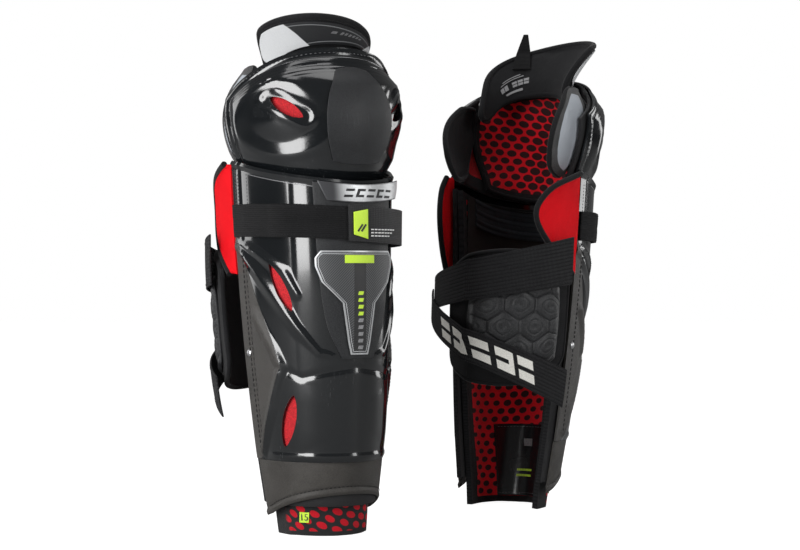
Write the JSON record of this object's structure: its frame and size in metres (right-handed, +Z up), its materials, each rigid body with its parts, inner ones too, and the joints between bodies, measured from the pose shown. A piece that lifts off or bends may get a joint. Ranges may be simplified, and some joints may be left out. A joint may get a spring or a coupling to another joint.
{
  "type": "hockey shin guards",
  "caption": "Ice hockey shin guards with hard knee and shin shells, flexing knees, thigh flaps, quilted liners, hinged calf wraps and straps.",
  "frame": {"origin": "centre of the floor area under the guards, at the height of their lower rims", "axes": "+Z up along the shins; -Y towards the viewer of the picture, +X to the viewer's right"},
  "size_m": [0.4138, 0.4211, 0.52],
  "materials": {
    "gloss_black": "glossy moulded shell",
    "matte_black": "matte moulded plastic",
    "graphite": "fine matte grain",
    "red_foam": "closed-cell foam",
    "red_cloth": "quilted mesh liner",
    "grey_cloth": "smooth coated cloth",
    "black_cloth": "brushed cloth",
    "webbing": "elastic webbing",
    "silver": "satin silver print",
    "lime": "soft moulded label",
    "steel": "brushed rivet"
  },
  "bodies": {
    "a_shin": {"a_ankle_cuff": "graphite", "a_brow_plaque": "silver", "a_front_strap": "webbing", "a_inner_red_wing": "red_cloth", "a_knee_sling": "webbing", "a_outer_red_wing": "red_cloth", "a_shield_badge": "silver", "a_shin_cap": "gloss_black", "a_shin_foam": "red_foam", "a_shin_liner": "red_cloth", "a_side_rivet": "steel", "a_skate_scuff_patch": "gloss_black", "a_spine_plate": "matte_black"},
    "a_knee": {"a_inner_knee_wing": "black_cloth", "a_knee_cap": "gloss_black", "a_knee_face_plate": "matte_black", "a_knee_foam": "red_foam", "a_knee_liner": "red_cloth", "a_outer_knee_wing": "grey_cloth"},
    "a_flap": {"a_flap_facing": "grey_cloth", "a_thigh_flap": "black_cloth"},
    "a_calf": {"a_calf_pad": "matte_black", "a_calf_wrap": "black_cloth", "a_lower_calf_strap": "webbing", "a_upper_calf_strap": "webbing"},
    "a_tab": {"a_strap_end": "webbing", "a_strap_label": "lime"},
    "b_shin": {"b_ankle_cuff": "graphite", "b_brow_plaque": "silver", "b_front_strap": "webbing", "b_inner_red_wing": "red_cloth", "b_knee_sling": "webbing", "b_outer_red_wing": "red_cloth", "b_shield_badge": "silver", "b_shin_cap": "gloss_black", "b_shin_foam": "red_foam", "b_shin_liner": "red_cloth", "b_side_rivet": "steel", "b_skate_scuff_patch": "gloss_black", "b_spine_plate": "matte_black"},
    "b_knee": {"b_inner_knee_wing": "black_cloth", "b_knee_cap": "gloss_black", "b_knee_face_plate": "matte_black", "b_knee_foam": "red_foam", "b_knee_liner": "red_cloth", "b_outer_knee_wing": "grey_cloth"},
    "b_flap": {"b_flap_facing": "grey_cloth", "b_flap_pull_tab": "webbing", "b_thigh_flap": "black_cloth"},
    "b_calf": {"b_calf_pad": "matte_black", "b_calf_wrap": "black_cloth", "b_lower_calf_strap": "webbing", "b_upper_calf_strap": "webbing"},
    "b_tab": {"b_strap_end": "webbing", "b_strap_label": "lime"}
  },
  "joints": [
    {"name": "a_knee_flex", "type": "hinge", "parent": "a_shin", "child": "a_knee", "pos_m": [-0.09259, -0.09836, 0.352], "axis": [-0.8572, -0.515, 0], "range_deg": [0, 16]},
    {"name": "a_flap_tilt", "type": "hinge", "parent": "a_knee", "child": "a_flap", "pos_m": [-0.08485, -0.14037, 0.446], "axis": [-0.8572, -0.515, 0], "range_deg": [-4, 20]},
    {"name": "a_calf_swing", "type": "hinge", "parent": "a_shin", "child": "a_calf", "pos_m": [-0.16764, -0.12308, 0.207], "axis": [0, 0, 1], "range_deg": [0, 70]},
    {"name": "a_tab_peel", "type": "hinge", "parent": "a_shin", "child": "a_tab", "pos_m": [-0.028, -0.07469, 0.295], "axis": [0, 0, 1], "range_deg": [0, 60]},
    {"name": "b_knee_flex", "type": "hinge", "parent": "b_shin", "child": "b_knee", "pos_m": [0.0995, 0.1133, 0.352], "axis": [0.866, -0.5, 0], "range_deg": [0, 16]},
    {"name": "b_flap_tilt", "type": "hinge", "parent": "b_knee", "child": "b_flap", "pos_m": [0.13249, 0.14044, 0.446], "axis": [0.866, -0.5, 0], "range_deg": [-4, 20]},
    {"name": "b_calf_swing", "type": "hinge", "parent": "b_shin", "child": "b_calf", "pos_m": [0.15751, 0.05965, 0.207], "axis": [0, 0, 1], "range_deg": [0, 70]},
    {"name": "b_tab_peel", "type": "hinge", "parent": "b_shin", "child": "b_tab", "pos_m": [0.04749, 0.15832, 0.295], "axis": [0, 0, 1], "range_deg": [0, 60]},
    {"name": "b_apart", "type": "slide", "parent": "a_shin", "child": "b_shin", "axis": [1, 0, 0], "range_m": [0, 0.2]}
  ]
}
